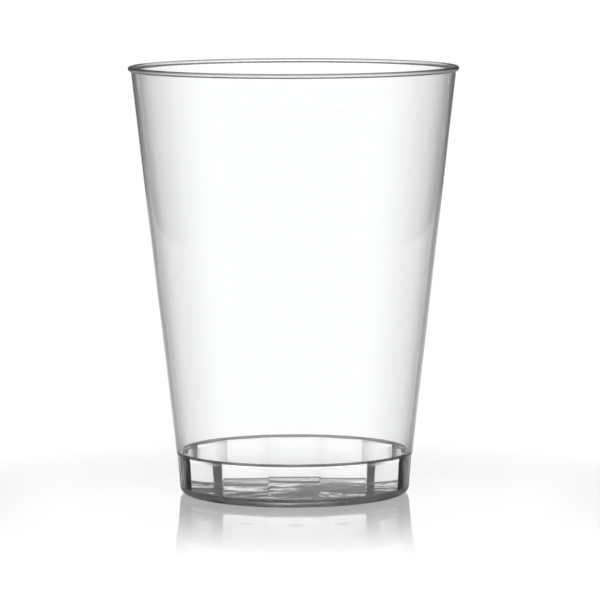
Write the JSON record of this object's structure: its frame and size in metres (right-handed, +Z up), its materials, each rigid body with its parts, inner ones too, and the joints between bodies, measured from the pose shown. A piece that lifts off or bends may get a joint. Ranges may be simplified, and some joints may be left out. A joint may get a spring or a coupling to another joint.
{
  "type": "plastic tumbler",
  "caption": "Clear moulded tumbler with a tapered wall, a thin beaded rim and a thick foot with a faceted well inside it, made to hold a cold drink.",
  "frame": {"origin": "on the table, at the middle of the foot", "axes": "+Z up the axis of the cup; one flat facet of the well inside the foot lies towards -Y, the front"},
  "size_m": [0.084, 0.084, 0.109],
  "materials": {
    "clear_plastic": "clear, glossy"
  },
  "bodies": {
    "root": {"tumbler": "clear_plastic"}
  },
  "joints": []
}
